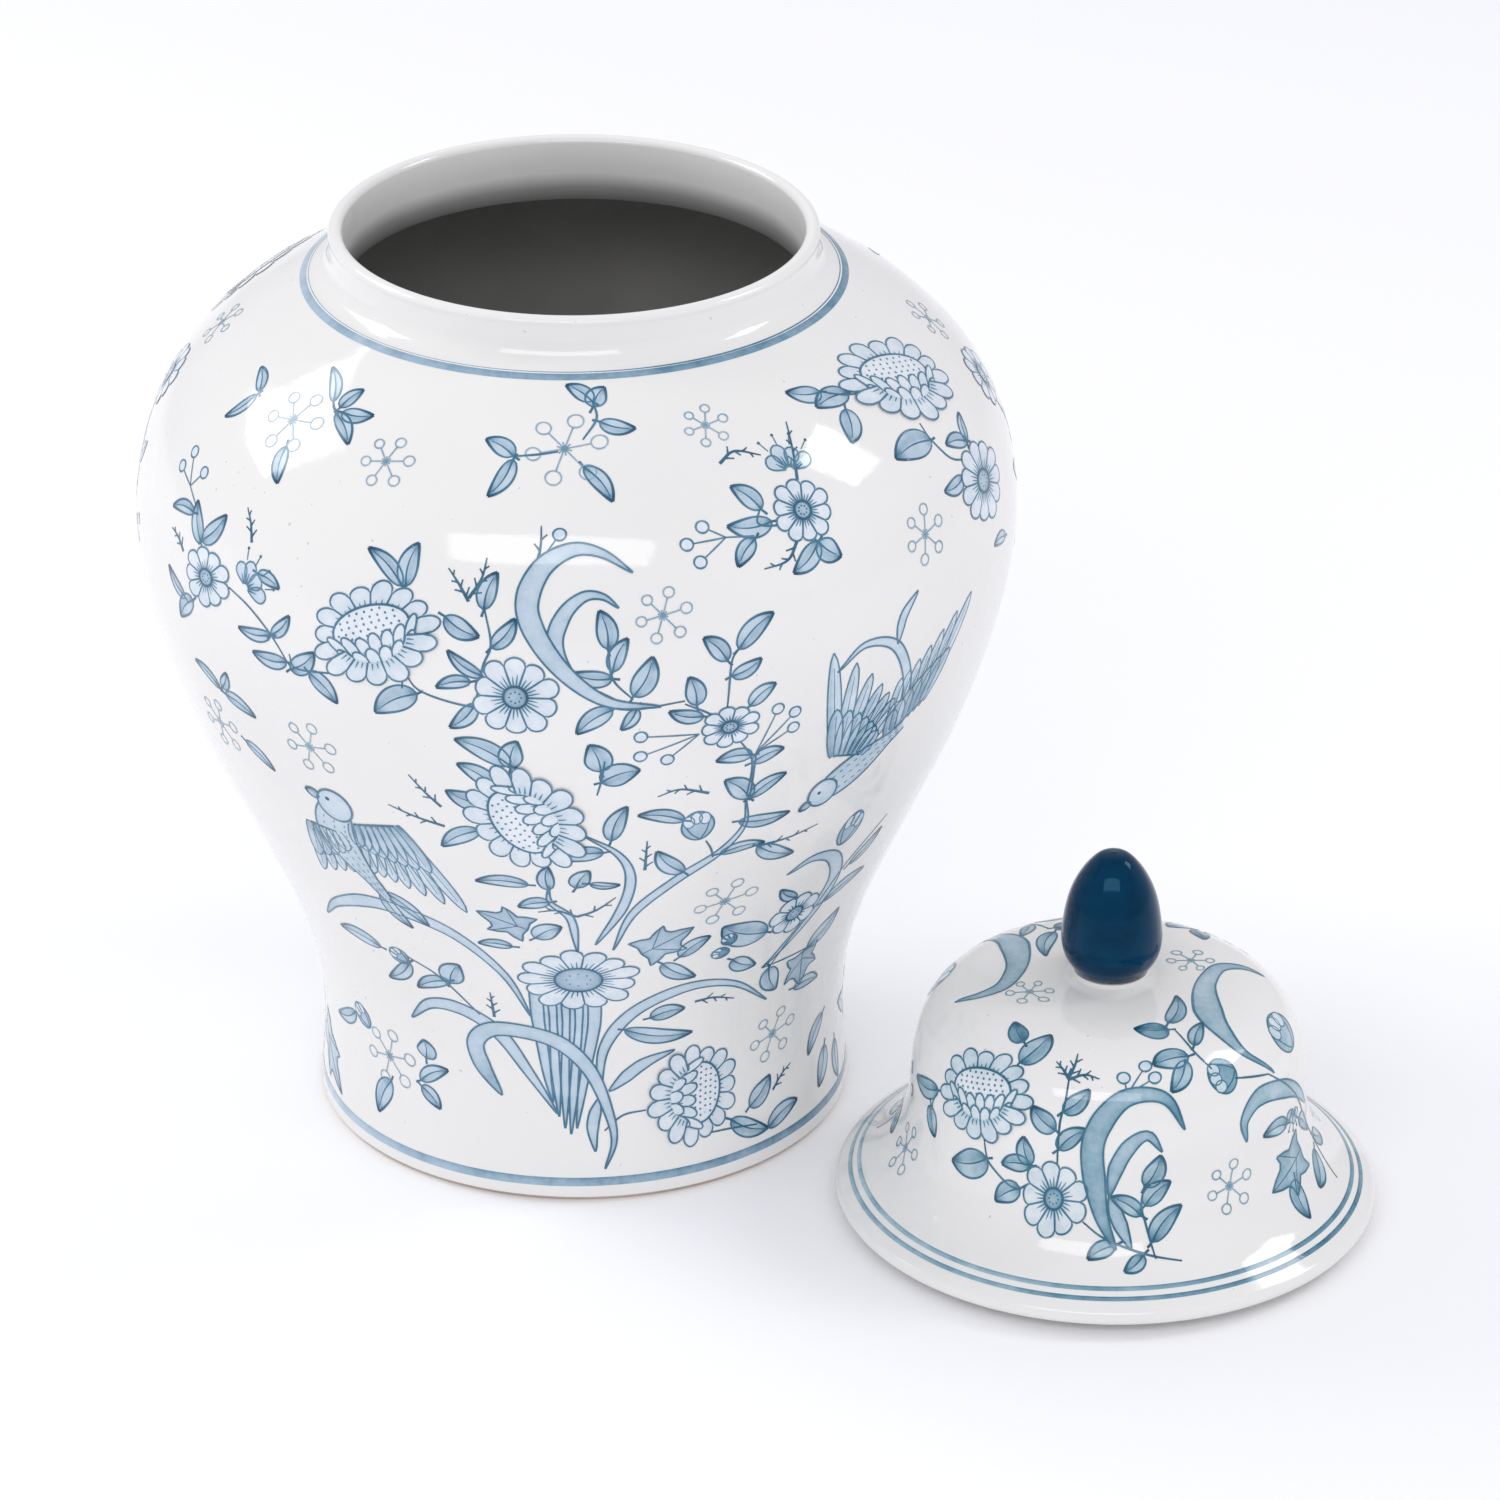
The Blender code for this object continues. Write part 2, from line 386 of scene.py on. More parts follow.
# ---------------- brush painting
def even(path, step):
    """The same path with points about one step apart."""
    along = np.concatenate([[0.0], np.cumsum(np.hypot(*np.diff(path, axis=0).T))])
    at = np.linspace(0, along[-1], max(int(along[-1] / step) + 1, 4))
    return np.column_stack([np.interp(at, along, path[:, k]) for k in (0, 1)])


def sideways(path):
    """Unit vectors to the left of a path."""
    run = np.gradient(path, axis=0)
    run /= np.maximum(np.hypot(*run.T), 1e-9)[:, None]
    return np.column_stack([-run[:, 1], run[:, 0]])


def strip(path, half, columns):
    """A grid of points across a path; half is its half width at each point."""
    across = np.linspace(-1, 1, columns)
    return path[:, None] + sideways(path)[:, None] * (half[:, None] * across)[..., None]


def rotated(points, degrees):
    turn = math.radians(degrees)
    x, y = np.asarray(points, float).T
    return np.column_stack([x * math.cos(turn) - y * math.sin(turn),
                            x * math.sin(turn) + y * math.cos(turn)])


def ring_points(centre, radius, sides=19):
    angles = np.linspace(0, 2 * math.pi, sides)
    return centre + radius * np.column_stack([np.cos(angles), np.sin(angles)])


class Paint:
    """Sprays of painting on a surface: washes and lines collected into one piece.

    Strokes are worked out in flat millimetres about an origin place. A tone is the
    pigment's depth: about 0 is a pale wash, and 1 is the darkest line."""

    WASH, INK = 0, 1

    def __init__(self, surface, turn=0.0):
        self.surface, self.turn = surface, turn
        self.vertices, self.normals, self.tones = [], [], []
        self.faces, self.slots = [], []
        self.count = 0
        self.level = 0
        self.origin = (0.0, 0.0)

    # -------- places
    def flat(self, points, origin=None):
        """(angle, distance) places as millimetres about an origin place."""
        if origin is not None:
            self.origin = origin
        points = np.asarray(points, float).reshape(-1, 2)
        x = np.radians(points[:, 0] - self.origin[0]) * self.surface.radius(points[:, 1])
        return np.column_stack([x, points[:, 1] - self.origin[1]])

    def grid(self, place, normal, tone, slot, flip=False):
        """Keep a grid of surface points, rows by columns."""
        rows, columns = place.shape[:2]
        index = self.count + np.arange(rows * columns).reshape(rows, columns)
        quads = np.stack([index[:-1, :-1], index[:-1, 1:], index[1:, 1:], index[1:, :-1]], -1)
        self.vertices.append(place.reshape(-1, 3))
        self.normals.append(normal.reshape(-1, 3))
        self.tones.append(np.broadcast_to(tone, (rows, columns)).ravel())
        self.faces.append((quads[..., ::-1] if flip else quads).reshape(-1, 4))
        self.slots += [slot] * ((rows - 1) * (columns - 1))
        self.count += rows * columns

    def sheet(self, flat, tone, lift, slot):
        """Lay a grid of flat points on the surface, with its front outwards."""
        lift = lift + LEVEL_LIFT * self.level + LIFT_STEP * (len(self.vertices) % LIFT_STEPS)
        s = self.origin[1] + flat[..., 1]
        theta = self.origin[0] + np.degrees(flat[..., 0] / self.surface.radius(s))
        across, up = flat[:, 1:] - flat[:, :-1], flat[1:] - flat[:-1]
        area = across[:-1, :, 0] * up[:, :-1, 1] - across[:-1, :, 1] * up[:, :-1, 0]
        self.grid(*self.surface.points(theta + self.turn, s, lift), tone, slot, area.sum() < 0)

    def ribbon(self, path, half, tone, lift=LINE_LIFT):
        """A stroke along a flat path; half is its half width at each point."""
        half = np.maximum(np.broadcast_to(half, len(path)), 0.03)
        self.sheet(strip(path, half, 2), np.broadcast_to(tone, len(path))[:, None], lift, self.INK)

    def edges(self, path, half, width, tone):
        """Outline both sides of a wash that lies along a path."""
        side = sideways(path) * half[:, None]
        for sign in (-1, 1):
            self.ribbon(path + sign * side, width, tone)

    def wash(self, path, half, shade):
        """A wash along a path; shade has a tone for each point along and across it."""
        self.sheet(strip(path, half, shade.shape[1]), shade, WASH_LIFT, self.WASH)

    # -------- strokes
    def line(self, path, half=LINE, tone=0.6, swell=0.35):
        """A brush line that swells in the middle and darkens where the brush lifts."""
        path = even(path, 1.0)
        t = np.linspace(0, 1, len(path))
        width = half * (1 - swell + swell * np.sin(math.pi * t))
        self.ribbon(path, width, tone + 0.25 * np.abs(2 * t - 1) ** 6)

    def stem(self, places, tone=0.62):
        self.line(smooth_curve(self.flat(places, places[0]), 8), LINE, tone)

    def dot(self, centre, radius, tone, sides=14):
        angles = np.linspace(0, 2 * math.pi, sides + 1)
        rings = np.array([1.0, 0.05]) * radius
        flat = np.stack([centre[0] + rings[:, None] * np.cos(angles),
                         centre[1] + rings[:, None] * np.sin(angles)], -1)
        self.sheet(flat, tone, LINE_LIFT, self.INK)

    def loop(self, centre, rx, ry, half, tone, sides=26):
        angles = np.linspace(0, 2 * math.pi, sides + 1)
        ring = np.column_stack([rx * np.cos(angles), ry * np.sin(angles)]) + centre
        self.ribbon(ring, half * (1 + 0.15 * np.sin(3 * angles)), tone)

    def patch(self, outline, centre, tone, rim, lift=WASH_LIFT):
        """A wash that fills a star-shaped outline; rim makes its edge darker."""
        rings = np.linspace(0.02, 1.0, 6)[:, None, None]
        depth = (tone + rim * rings[..., 0] ** 3) * np.ones(len(outline))
        self.sheet(centre + (outline - centre) * rings, depth, lift, self.WASH)

    # -------- leaves and blades
    def leaf(self, base, tip, width, bend, tone=0.12):
        """A pointed leaf: pale wash, dark at its base and tip, outline and midrib."""
        root, end = self.flat([base, tip], base)
        self.leaf_flat(root, end, width, bend, tone)

    def leaf_flat(self, root, end, width, bend, tone, vein=True):
        reach = end - root
        size = max(np.hypot(*reach), 1.0)
        t = np.linspace(0, 1, max(int(size / 0.8), 9))
        normal = np.array([-reach[1], reach[0]])
        spine = root + t[:, None] * reach + (bend * np.sin(math.pi * t))[:, None] * normal
        shape = t ** 0.62 * (1 - t) ** 0.88
        half = 0.5 * width * shape / shape.max()
        across = np.linspace(-1, 1, 9)
        ends = 0.42 * np.exp(-(t / 0.16) ** 2) + 0.60 * np.exp(-((1 - t) / 0.20) ** 2)
        fold = 0.24 * (across < 0) * (1 - np.abs(across)) ** 0.5
        self.wash(spine, half, tone + ends[:, None] + fold)
        self.edges(spine, half, LINE * (0.70 + 0.55 * t), 0.60 + 0.35 * t ** 4)
        if vein:
            inner = spine[:int(len(t) * 0.90)]
            self.ribbon(inner, np.linspace(0.34, 0.14, len(inner)), 0.66)
            stalk = np.array([root - 2.2 * reach / size, root])
            self.ribbon(stalk, [0.42, 0.34], 0.72)

    def blade(self, places, width, tone=0.08, head=0.30, tail=0.45):
        """A long leaf or crescent along a curve, outlined.

        head and tail are the shares of its length over which it grows and narrows."""
        path = even(smooth_curve(self.flat(places, places[0]), 10), 1.3)
        t = np.linspace(0, 1, len(path))
        grow = np.clip(t / head, 0, 1) ** 0.7 if head else 1.0
        half = 0.5 * width * grow * np.clip((1 - t) / tail, 0, 1) ** 0.75 + 0.05
        ends = 0.35 * (np.exp(-(t / 0.10) ** 2) + np.exp(-((1 - t) / 0.12) ** 2))
        self.wash(path, half, tone + ends[:, None] + 0.16 * np.linspace(-1, 1, 7) ** 2)
        self.edges(path, half, LINE * 0.85, 0.60)

    def ivy(self, base, tip, width):
        """A three-pointed leaf."""
        root, end = self.flat([base, tip], base)
        reach = end - root
        size, angle = np.hypot(*reach), math.degrees(math.atan2(reach[1], reach[0]))
        half = 0.5 * width / size
        shape = [(0, 0), (0.03, 0.45 * half), (-0.04, 0.95 * half), (0.16, 0.84 * half),
                 (0.30, 0.66 * half), (0.44, 0.86 * half), (0.64, 1.02 * half),
                 (0.60, 0.66 * half), (0.66, 0.42 * half), (0.82, 0.26 * half), (1, 0)]
        mirror = [(x, -y) for x, y in shape[-2:0:-1]]

        def put(points):
            return rotated(size * np.array(points), angle) + root

        outline = even(put(shape + mirror + [(0, 0)]), 0.8)
        self.patch(outline, put([(0.42, 0)])[0], 0.22, 0.22)
        self.ribbon(outline, LINE * 0.9, 0.65)
        self.line(np.array([root, end]), LINE * 0.6)
        for sign in (-1, 1):
            self.line(put([(0.2, 0), (0.55, sign * 0.9 * half)]), 0.2)

    # -------- flowers
    def scallops(self, place, lobes, heart, notch, start=0.0, end=360.0, wash=0.0, root=None):
        """Rounded petals side by side about a centre; place maps unit points to flat ones.

        The petals reach from heart to 1; the lines between them start at root."""
        root = root or heart
        steps = 10 * lobes
        angles = np.linspace(start, end, steps + 1)
        share = np.linspace(0, lobes, steps + 1)
        lobe = np.floor(share - 1e-6)
        bulge = np.clip(np.sin(math.pi * (share - lobe)), 0, 1) ** 0.55
        rim = notch + (1 + 0.05 * np.cos(2.3 * lobe) - notch) * bulge
        direction = np.column_stack([np.cos(np.radians(angles)), np.sin(np.radians(angles))])
        t = np.linspace(0, 1, 8)[:, None]
        radii = heart + (rim - heart) * t
        flat = place((radii[..., None] * direction).reshape(-1, 2)).reshape(8, steps + 1, 2)
        shade = wash + 0.20 * np.exp(-(t / 0.26) ** 2) + 0.12 * (1 - bulge) * t
        self.sheet(flat, shade, WASH_LIFT, self.WASH)
        self.ribbon(place(rim[:, None] * direction), LINE * 0.85, 0.55)

        def ray(number, reach, half, tone):
            angle = math.radians(start + (end - start) / lobes * number)
            way = np.array([math.cos(angle), math.sin(angle)])
            self.ribbon(place(np.linspace(*reach, len(half))[:, None] * way), half, tone)

        for k in range(lobes + int(end - start < 360)):
            ray(k, (root, notch + 0.02), np.linspace(0.36, 0.26, 5), 0.60)
        near = root + 0.06 * (notch - root)
        for k in range(lobes):
            for side, length in ((1 / 3, 0.60), (2 / 3, 0.48)):
                far = root + length * (notch - root)
                ray(k + side, (near, far), np.array([0.28, 0.24, 0.18, 0.08]), 0.50)

    def daisy(self, place, rx, ry, petals=10, heart=0.28, tilt=0.0):
        """A round flower with a dark centre."""
        self.flat([place], place)

        def put(points):
            return rotated(points * np.array([rx, ry]), tilt)

        self.level = 1
        self.scallops(put, petals, heart, 0.80, wash=-0.17)
        self.level = 2
        ring = put(ring_points((0, 0), heart, 25))
        self.patch(ring, np.zeros(2), 0.30, 0.35)
        self.ribbon(ring, LINE * 1.1, 0.80)
        for spot in put(ring_points((0, 0), 0.5 * heart, 9))[:-1]:
            self.dot(spot, 0.3, 0.75, 8)
        self.level = 0

    def petal(self, angle, start, end, width):
        """One rounded petal that points away from the origin."""
        t = np.linspace(0, 1, 15)
        half = 0.5 * width * np.sin(math.pi * t ** 1.25) ** 0.55 * (0.55 + 0.45 * t) + 0.02
        spine = rotated(np.column_stack([start + (end - start) * t, 0 * t]), angle)
        middle = 1 - 0.4 * np.linspace(-1, 1, 5) ** 2
        self.wash(spine, half, 0.50 * np.exp(-(t / 0.30) ** 2)[:, None] * middle)
        self.edges(spine, half, LINE * 0.78, 0.48)
        self.ribbon(spine[1:8], np.linspace(0.34, 0.10, 7), 0.55)

    def half_flower(self, place, size, angle):
        """A small flower seen from the side, with its stamens showing."""
        self.flat([place], place)
        for k, lean in enumerate((-58, -20, 20, 58)):
            self.petal(angle + lean, 0.15 * size, size * (1 - 0.12 * (k % 2)), 0.62 * size)
        for lean in (-40, -14, 12, 38):
            stamen = rotated([(0.95 * size, 0), (1.35 * size, 0)], angle + lean)
            self.line(stamen, 0.2, 0.6)
            self.dot(stamen[1], 0.5, 0.7)

    def peony(self, place, a, b, angle, front=7):
        """A full flower from the side: outer petals round a stippled heart, and a cup.

        a and b are its half width and half height, and front counts the cup's petals."""
        self.flat([place], place)

        def put(points):
            return rotated(np.asarray(points, float).reshape(-1, 2) * (a, b), angle)

        def row(points, top, wide, tall):
            """Unit points of a half circle as a sagging row of hanging petals."""
            u = 1 - np.degrees(np.arctan2(points[:, 1], points[:, 0])) / 90
            v = np.hypot(*points.T)
            x = wide * u * (0.70 + 0.30 * v)
            return put(np.column_stack([x, top + 0.18 * u ** 2 - tall * (1 - v)]))

        self.level = 1
        self.scallops(put, 9, 0.54, 0.80, -18, 198, -0.14)
        self.level = 2
        middle, wide, tall = 0.12, 0.62, 0.46
        heart = put(ring_points((0, middle), 1.0, 37) * (wide, tall) + (0, 0.065))
        self.patch(heart, put([(0, middle)])[0], -0.25, 0.10)
        self.ribbon(heart, LINE, 0.66)
        for line, y in enumerate(np.arange(-0.10, 0.52, 0.115)):
            reach = 0.58 * math.sqrt(max(1 - ((y - middle) / tall) ** 2, 0)) - 0.05
            for x in np.arange(-reach + 0.06 * (line % 2), reach, 0.125):
                self.dot(put([(x, y)])[0], 0.42, 0.5, 8)
        for level, top, wide, tall, petals in ((3, 0.02, 0.80, 0.52, front),
                                               (4, -0.26, 0.70, 0.46, front - 1)):
            self.level = level
            self.scallops(lambda points: row(points, top, wide, tall), petals, 0.02, 0.62,
                          0.0, 180.0, -0.15, 0.20)
        self.level = 5
        self.scallops(put, 6, 0.54, 0.80, 198, 342, -0.14)
        self.level = 0

    def bud(self, place, width, height, angle, tone=0.30):
        """A closed bud: dark cup with pale petals at its mouth."""
        self.flat([place], place)
        t = np.linspace(0, 2 * math.pi, 40)
        cup = np.column_stack([np.sin(t), np.cos(t) * (1 - 0.1 * np.sin(t) ** 2)])

        def put(points):
            return rotated(np.array(points) * (width, height), angle)

        outline = put(0.5 * cup)
        self.patch(outline, put([(0, -0.1)])[0], tone, 0.12)
        self.ribbon(outline, LINE * 0.85, 0.60)
        for x in (-0.25, 0.0, 0.25):
            petal = put(np.column_stack([x + 0.17 * np.cos(t),
                                         0.28 - abs(x) * 0.3 + 0.20 * np.sin(t)]))
            self.patch(petal, petal.mean(0), -0.12, 0.10, LINE_LIFT)
            self.ribbon(petal, LINE * 0.6, 0.50, LINE_LIFT + 0.02)
        for sign in (-1, 1):
            seam = smooth_curve([(sign * 0.36, 0.05), (sign * 0.22, -0.25), (0, -0.5)], 6)
            self.ribbon(put(seam), LINE * 0.7, 0.60)

    # -------- birds
    def wing(self, shoulder, wrist, inner, outer, near, far, count, width):
        """Feathers along an arm from shoulder to wrist, the longest at the wrist.

        inner and outer are the first and last feathers' directions, near and far their sizes."""
        arm = self.flat([shoulder, wrist], shoulder)
        share = np.linspace(0, 1, count)
        rows = ((near + (far - near) * share ** 2, width, -0.02),
                (0.45 * near * (1 + share), 1.1 * width, 0.14))
        for row, (sizes, wide, tone) in enumerate(rows):
            self.level += row
            for part, size in zip(share, sizes):
                root = arm[0] + (arm[1] - arm[0]) * part
                self.feather(root, inner + (outer - inner) * part ** 1.3, size, wide, tone)
        self.line(arm, 1.1 * LINE, 0.66)
        self.level -= 1

    def feather(self, root, angle, size, width, tone):
        t = np.linspace(0, 1, 16)
        half = 0.5 * width * np.clip(1 - t ** 3, 0, 1) ** 0.6 * (0.45 + 0.55 * t ** 0.5) + 0.03
        spine = rotated(np.column_stack([size * t, -0.10 * size * t ** 2]), angle) + root
        dark_side = 0.22 * (np.linspace(-1, 1, 5) > 0)
        self.wash(spine, half, tone + 0.26 * np.exp(-(t / 0.35) ** 2)[:, None] + dark_side)
        self.edges(spine, half, LINE * 0.72, 0.56)
        self.ribbon(spine[3:14], np.linspace(0.22, 0.1, 11), 0.5)

    def songbird(self, head, body, tail, size, look):
        """A plain small bird's body from head to tail; look is the way its beak points."""
        path = even(smooth_curve(self.flat([head, body, tail], head), 10), 0.9)
        t = np.linspace(0, 1, len(path))
        half = size * (0.62 + 0.38 * np.sin(math.pi * np.clip(1.25 * t, 0, 1)))
        half = half * np.clip(1.12 - t, 0, 1) ** 0.55 * np.clip(t / 0.08, 0, 1) ** 0.5 + 0.05
        across = np.abs(np.linspace(-1, 1, 9))
        self.level += 1
        self.wash(path, half, 0.02 + 0.34 * (1 - across) * t[:, None] + 0.20 * across ** 3)
        self.edges(path, half, LINE, 0.62)
        side = sideways(path)
        for k in range(5, len(path) - 4, 3):
            for share in (-0.55, 0.0, 0.55):
                mark = path[k] + side[k] * half[k] * share
                self.line(np.array([mark, mark + 1.4 * (path[k + 1] - path[k])]), 0.22, 0.5)
        self.level += 1
        skull = ring_points((0, 0), size * 0.78, 25)
        self.patch(skull, np.zeros(2), -0.05, 0.22)
        self.ribbon(skull, LINE, 0.62)
        way = size * np.array([math.cos(math.radians(look)), math.sin(math.radians(look))])
        self.leaf_flat(0.68 * way, 1.35 * way, 0.42 * size, 0, 0.25, False)
        self.dot(0.26 * way + (0, 0.20 * size), 0.10 * size, 0.9)
        self.level -= 2

    # -------- small things
    def star(self, place, size):
        """The small six-armed sprig with a ring at the end of each arm."""
        self.flat([place], place)
        size, half, tone = 1.15 * size, 0.24, 0.12
        for k in range(6):
            angle, reach = 12 + 60 * k, size * (1 + 0.06 * math.cos(5 * k))
            self.line(rotated([(0, 0), (0.66 * reach, 0)], angle), half, tone, 0.1)
            spot = rotated([(0.84 * reach, 0)], angle)[0]
            self.loop(spot, 0.20 * reach, 0.19 * reach, half, tone, 18)
        for k in range(6):
            self.line(rotated([(0, 0), (0.2 * size, 0)], 42 + 60 * k), half, tone)
        self.dot(np.zeros(2), 0.09 * size, tone + 0.2)

    def berries(self, node, spots, root=None):
        """Rings on short stalks that meet at one node."""
        radius, tone = 1.9, 0.5
        flat = self.flat([node, *spots], node)
        if root:
            self.line(np.vstack([self.flat([root]), flat[:1]]), LINE * 0.8, tone)
        for spot in flat[1:]:
            reach = spot - flat[0]
            stop = flat[0] + reach * (1 - radius / np.hypot(*reach))
            self.line(np.array([flat[0], stop]), LINE * 0.75, tone)
            self.patch(ring_points(spot, radius * 0.9), spot, -0.15, 0.0)
            self.loop(spot, radius, radius * 0.93, LINE * 0.8, tone)

    def twig(self, places, barbs=5):
        """A bare thorny twig."""
        size, tone = 3.2, 0.72
        path = even(smooth_curve(self.flat(places, places[0]), 6), 0.8)
        self.ribbon(path, LINE * (1.45 - 0.9 * np.linspace(0, 1, len(path))), tone)
        side = sideways(path)
        for k in range(barbs):
            at = int((0.18 + 0.76 * k / barbs) * (len(path) - 1))
            sign = 1 if k % 2 else -1
            run = np.array([side[at][1], -side[at][0]])
            tip = path[at] + size * (0.7 * sign * side[at] + 0.6 * run) * (1 - 0.12 * k)
            self.ribbon(np.linspace(path[at], tip, 5), LINE * np.array([1.2, 0.9, 0.7, 0.6, 0.7]),
                        tone)

    def band(self, low, high, tone, wander=0.25):
        """A painted line right round the piece, thick and thin as the wheel turns."""
        theta = np.linspace(-180, 180, 361)
        wave = wander * (np.sin(np.radians(theta + 40)) + 0.5 * np.sin(np.radians(3 * theta)))
        rows = np.linspace(0, 1, 4)[:, None]
        s = low + wave + (high - low) * rows
        shade = tone + 0.22 * rows ** 3 + 0.20 * np.sin(np.radians(theta + 25))
        place, normal = self.surface.points(np.broadcast_to(theta, s.shape), s, WASH_LIFT)
        self.grid(place, normal, shade, self.WASH)

    # -------- result
    def make(self, name, body, slot, wash, ink):
        mesh = bpy.data.meshes.new(name)
        mesh.from_pydata(np.concatenate(self.vertices).tolist(), [],
                         np.concatenate(self.faces).tolist())
        mesh.materials.append(wash)
        mesh.materials.append(ink)
        mesh.polygons.foreach_set("material_index", self.slots)
        tone = mesh.attributes.new("tone", "FLOAT", "POINT")
        pigment = 0.2 + 0.8 * np.concatenate(self.tones)
        tone.data.foreach_set("value", pigment.astype(np.float32))
        mesh.shade_smooth()
        mesh.normals_split_custom_set_from_vertices(np.concatenate(self.normals).tolist())
        piece = bpy.data.objects.new(name, mesh)
        bpy.context.scene.collection.objects.link(piece)
        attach(piece, body)


def srgb(*values):
    """A screen colour from 0 to 255 as the linear colour a shader takes."""
    unit = np.array(values) / 255
    return tuple(np.where(unit < 0.04045, unit / 12.92, ((unit + 0.055) / 1.055) ** 2.4))


# ---------------- the turned pieces
# Outlines are (radius, height) in mm about a piece's own axis.
JAR_AXIS, LID_AXIS = (0.0, 0.0), (0.159, -0.085)    # m
WALL, LID_WALL = 6.0, 5.0
FOOT_SHOWS = 1.6            # bare clay under the glaze's edge
FOOT_TOP, FOOT_INSIDE, FOOT_OUTSIDE = 8.0, 75.0, 82.6
NECK_INSIDE, NECK_FOOT = 69.1, 269.0
LIP_CENTRE, LIP_ROUND = (71.3, 287.7), 2.25
MOUTH_DIP = 0.55            # half of the hand-thrown mouth's fall from side to side
DIP_STARTS, DIP_WHOLE = 279.0, 290.0
SEAT_HEIGHT, CROWN_INSIDE, STUB_TOP = 9.7, 72.4, 80.0

JAR_SIDE = smooth_curve([(83.0, 8.3), (82, 30), (84.5, 52), (92, 76), (104.5, 104),
                         (119, 136), (129.5, 168), (134, 196), (131.5, 220), (123, 240),
                         (108.5, 256), (94, 266.5), (80, 275)], 6)
COLLAR = smooth_curve([(78.5, 275.3), (75.5, 277.5), (73.8, 281.3), (73.6, 287.7)], 4)
FLANGE_EDGE = (79.8, 6.5)
LID_SIDE = smooth_curve([(77.5, 11.5), (70, 17.2), (64, 25.5), (60.8, 37), (59.7, 51),
                         (56, 64.5), (47.5, 73), (35, 76.8), (20, 77.5), (13.5, 77.7)], 6)

jar = Surface(np.vstack([[(83.5, 0), (83.5, 4)], JAR_SIDE, COLLAR]), JAR_AXIS)
lid = Surface(np.vstack([arc(FLANGE_EDGE, 3.0, 0, 60, 5), LID_SIDE]), LID_AXIS)


def mouth_dip(angle, height):
    """The hand-thrown mouth: highest at its far left, a little lower at its near right."""
    share = min(max((height - DIP_STARTS) / (DIP_WHOLE - DIP_STARTS), 0.0), 1.0)
    return -MOUTH_DIP * share * (1 - math.cos(angle + math.radians(135)))


def inner_face(side, wall):
    """The inner face of a wall whose outer face is side, from the top down."""
    side = side[::-2]
    slope = np.gradient(side, axis=0)
    slope /= np.hypot(*slope.T)[:, None]
    return side + wall * np.column_stack([slope[:, 1], -slope[:, 0]])


def standing_ring(inner, outer, top, edge=1.6):
    """A ring with a rounded bearing edge."""
    return np.vstack([arc((outer - edge, edge), edge, -90, 0, 4), [(outer, top), (inner, top)],
                      arc((inner + edge, edge), edge, 180, 270, 4)])


def make_jar(white, inside, clay):
    skin = jar.offset(SKIN_INSET)
    skin = skin[skin[:, 1] > FOOT_SHOWS + 0.5]
    skin = np.vstack([[(skin[0, 0], FOOT_SHOWS)], skin])
    lip = arc(LIP_CENTRE, LIP_ROUND, 10, 180, 10)
    neck = np.array([(NECK_INSIDE, 281.0), (NECK_INSIDE, 272.5), (69.3, 269.3)])
    wall = inner_face(JAR_SIDE, WALL)
    wall = wall[(wall[:, 1] < NECK_FOOT) & (wall[:, 1] > FOOT_TOP + 0.4)]
    foot_joint = FOOT_TOP + 0.1
    under = np.array([(wall[-1, 0], foot_joint), (82.7, foot_joint), (82.7, FOOT_SHOWS)])
    outline = np.vstack([skin, lip, neck, wall, under])
    # the inside of the neck and body takes the material with painted shade
    picks = np.zeros(len(outline))
    dark = len(skin) + len(lip) - 1
    picks[dark:dark + len(neck) + 1 + len(wall)] = 1
    turned_piece("jar_body", outline, JAR_AXIS, [white, inside], "jar",
                 ["jar_lower_body", "jar_upper_body", "jar_neck_ring"],
                 picks, mouth_dip)
    foot = standing_ring(FOOT_INSIDE, FOOT_OUTSIDE, FOOT_TOP)
    turned_piece("foot_ring", foot, JAR_AXIS, [clay], "jar", ["jar_foot_ring"])
    disc = np.array([(0, 1.6), (40, 1.55), (74.6, 1.5), (74.9, 6.9), (40, 7.6), (0, 7.7)])
    # the disc's top, the jar's inside floor, takes the material with painted shade
    turned_piece("floor_disc", disc, JAR_AXIS, [clay, inside], "jar", ["jar_base_disc"],
                 [0, 0, 0, 1, 1, 1])


def make_lid(white, navy):
    skin = lid.offset(SKIN_INSET)
    stub = np.array([(11.4, 78.6), (11.2, STUB_TOP), (0, STUB_TOP)])
    crown = np.array([(0, CROWN_INSIDE + 0.1), (20, CROWN_INSIDE)])
    dome = inner_face(LID_SIDE[(LID_SIDE[:, 0] < 64.5) & (LID_SIDE[:, 0] > 22)], LID_WALL)
    dome = dome[dome[:, 1] > 11]
    seat = np.array([(60.5, SEAT_HEIGHT), (75.4, SEAT_HEIGHT), (76.5, 3.7), (79.4, 3.6)])
    edge = arc(FLANGE_EDGE, 2.9, -80, -10, 6)
    outline = np.vstack([skin, stub, crown, dome, seat, edge])
    turned_piece("lid_body", outline, LID_AXIS, [white], "lid", ["lid_shell"])
    ring = standing_ring(61.2, 65.6, 9.4)
    turned_piece("locating_ring", ring, LID_AXIS, [white], "lid", ["lid_locating_ring"])
    low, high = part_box("lid_knob")
    radius, base = (high[0] - low[0]) / 2 / MM - 0.1, low[2] / MM
    height = high[2] / MM - base
    acorn = smooth_curve([(0.78, 0.03), (0.95, 0.15), (1, 0.32), (0.89, 0.60), (0.66, 0.81),
                          (0.33, 0.965), (0.0, 1.0)], 8)
    knob = np.vstack([[(0, 0), (0.70, 0)], acorn]) * (radius, height) + (0, base)
    knob[:, 0] = np.maximum(knob[:, 0], 0)
    turned_piece("knob", knob, LID_AXIS, [navy], "lid", ["lid_knob"])


